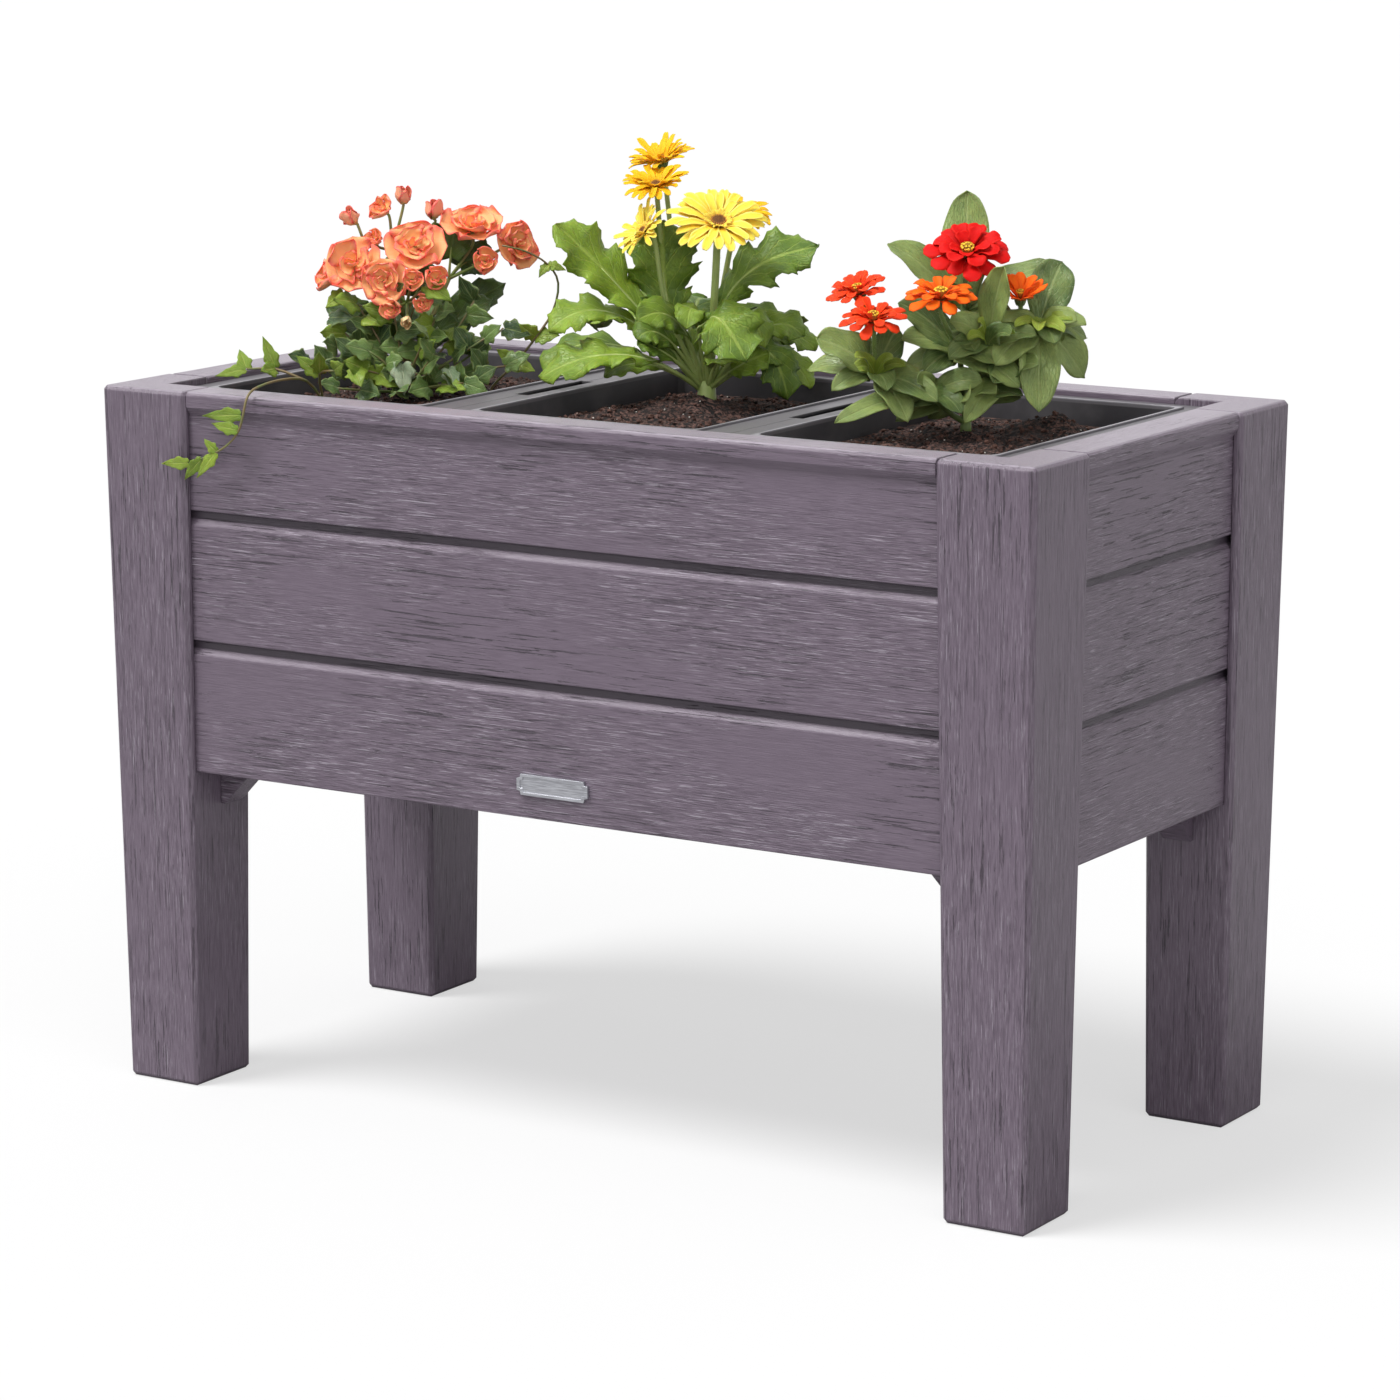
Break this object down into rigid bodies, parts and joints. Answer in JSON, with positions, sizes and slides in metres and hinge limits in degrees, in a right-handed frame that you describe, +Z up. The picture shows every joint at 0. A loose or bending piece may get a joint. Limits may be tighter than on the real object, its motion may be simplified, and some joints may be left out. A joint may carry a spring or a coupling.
{
  "type": "planted raised bed",
  "caption": "Moulded raised garden bed on tapered legs with boarded walls, lift-out planting liners and flowering plants.",
  "frame": {"origin": "on the floor under the middle of the bed", "axes": "+X along the bed to the viewer's right, +Y from the front boards to the back, +Z up"},
  "size_m": [0.92, 0.4715, 0.8253],
  "materials": {
    "bed_plastic": "satin",
    "liner_plastic": "satin",
    "plaque": "satin",
    "soil": "matte",
    "begonia_green": "satin",
    "ivy_green": "satin",
    "gerbera_green": "satin",
    "zinnia_green": "satin",
    "coral_petals": "matte",
    "yellow_petals": "matte",
    "golden_petals": "matte",
    "red_petals": "matte",
    "orange_petals": "matte",
    "florets": "matte"
  },
  "bodies": {
    "root": {"begonia_bloom_back_left": "coral_petals", "begonia_bloom_centre": "coral_petals", "begonia_bloom_centre_low": "coral_petals", "begonia_bloom_left": "coral_petals", "begonia_bloom_left_low": "coral_petals", "begonia_bloom_low_bud": "coral_petals", "begonia_bloom_low_left": "coral_petals", "begonia_bloom_low_right": "coral_petals", "begonia_bloom_pink_bud": "coral_petals", "begonia_bloom_right": "coral_petals", "begonia_bloom_right_bud": "coral_petals", "begonia_bloom_right_far": "coral_petals", "begonia_bloom_right_low": "coral_petals", "begonia_bloom_roll_middle": "coral_petals", "begonia_bloom_roll_right": "coral_petals", "begonia_bloom_top_bud": "coral_petals", "begonia_bloom_top_left": "coral_petals", "begonia_leaves": "begonia_green", "floor_panel": "bed_plastic", "gerbera_behind_disc": "florets", "gerbera_behind_petals": "golden_petals", "gerbera_front_disc": "florets", "gerbera_front_petals": "yellow_petals", "gerbera_leaves": "gerbera_green", "gerbera_second_disc": "florets", "gerbera_second_petals": "golden_petals", "gerbera_side_disc": "florets", "gerbera_side_petals": "yellow_petals", "gerbera_top_disc": "florets", "gerbera_top_petals": "golden_petals", "ivy_bush": "ivy_green", "ivy_shoot": "ivy_green", "ivy_trail": "ivy_green", "leg_back_left": "bed_plastic", "leg_back_right": "bed_plastic", "leg_front_left": "bed_plastic", "leg_front_right": "bed_plastic", "liner_left": "liner_plastic", "liner_middle": "liner_plastic", "liner_right": "liner_plastic", "plaque": "plaque", "soil_left": "soil", "soil_middle": "soil", "soil_right": "soil", "wall_back": "bed_plastic", "wall_front": "bed_plastic", "wall_left": "bed_plastic", "wall_right": "bed_plastic", "zinnia_cup_centre": "florets", "zinnia_cup_petals": "orange_petals", "zinnia_leaves": "zinnia_green", "zinnia_orange_centre": "florets", "zinnia_orange_petals": "orange_petals", "zinnia_red_centre": "florets", "zinnia_red_petals": "red_petals", "zinnia_scarlet_back_centre": "florets", "zinnia_scarlet_back_petals": "orange_petals", "zinnia_scarlet_centre": "florets", "zinnia_scarlet_petals": "orange_petals"}
  },
  "joints": []
}
